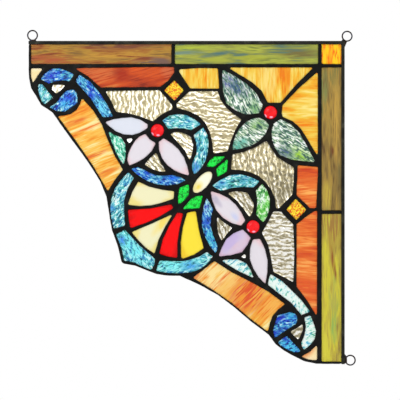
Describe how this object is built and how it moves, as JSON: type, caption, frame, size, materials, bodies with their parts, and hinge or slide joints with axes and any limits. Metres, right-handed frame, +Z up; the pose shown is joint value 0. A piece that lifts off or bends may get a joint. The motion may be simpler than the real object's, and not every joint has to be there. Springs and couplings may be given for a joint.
{
  "type": "stained glass window",
  "caption": "Right-angled stained glass corner panel with flowers, ribbons and a fan in black soldered seams, hung by wire rings.",
  "frame": {"origin": "centre of the hanging ring at the panel's square corner", "axes": "+Z up, +X to the right as seen from the front, the front faces -Y, the glass lies in the XZ plane"},
  "size_m": [0.371, 0.0077, 0.3788],
  "materials": {
    "brown": "glossy",
    "olive_green": "glossy",
    "sun_yellow": "glossy",
    "tan_streaky": "glossy",
    "lime_streaky": "glossy",
    "red_orange": "glossy",
    "amber": "glossy",
    "orange": "glossy",
    "cobalt": "glossy",
    "aqua": "glossy",
    "mint": "textured",
    "leaf": "glossy",
    "petal": "glossy",
    "petal_green": "textured",
    "clear": "textured",
    "jewel_red": "glossy",
    "fan_cream": "glossy",
    "fan_red": "glossy",
    "fan_yellow": "glossy",
    "opal": "glossy",
    "grain_yellow": "textured",
    "seam": "black patina, satin",
    "came": "dull grey-black",
    "wire": "dark wire"
  },
  "bodies": {
    "root": {"amber_bottom": "amber", "amber_left": "amber", "amber_trapezoid": "amber", "amber_wedge_side": "amber", "amber_wedge_top": "amber", "aqua_ribbon_bottom": "aqua", "aqua_ribbon_flower_2": "aqua", "aqua_ribbon_outer_lower": "aqua", "aqua_ribbon_outer_upper": "aqua", "aqua_ribbon_right": "aqua", "aqua_ribbon_top": "aqua", "blue_ribbon_down": "cobalt", "bottom_end_ring": "wire", "brown_bar": "brown", "clear_above_flower_2": "clear", "clear_beside_flower_1": "clear", "clear_centre": "clear", "clear_lower_right": "clear", "clear_right": "clear", "clear_upper_left": "clear", "corner_ring": "wire", "corner_square": "sun_yellow", "curl_arc": "cobalt", "curl_blue_lower": "cobalt", "curl_blue_upper": "cobalt", "curl_leaf": "cobalt", "curl_mint": "mint", "curl_ribbon": "cobalt", "diamond_lower": "grain_yellow", "diamond_upper": "grain_yellow", "edge_came": "came", "fan_cream_lower": "fan_cream", "fan_cream_upper": "fan_cream", "fan_red_lower": "fan_red", "fan_red_upper": "fan_red", "fan_yellow": "fan_yellow", "flower_1_jewel": "jewel_red", "flower_1_petal_left": "petal", "flower_1_petal_right": "petal", "flower_1_petal_upper": "petal", "flower_2_jewel": "jewel_red", "flower_2_petal_left": "petal", "flower_2_petal_right": "petal", "flower_2_petal_upper": "petal", "flower_3_jewel": "jewel_red", "flower_3_petal_left": "petal_green", "flower_3_petal_right": "petal_green", "flower_3_petal_upper": "petal_green", "green_bar": "olive_green", "green_ribbon": "leaf", "mint_ribbon": "mint", "orange_strip_lower": "orange", "orange_strip_upper": "orange", "oval": "opal", "red_band": "red_orange", "ribbon_under_flower_1": "cobalt", "seam_lattice": "seam", "side_bar_lower": "lime_streaky", "side_bar_upper": "tan_streaky", "top_end_ring": "wire"}
  },
  "joints": []
}
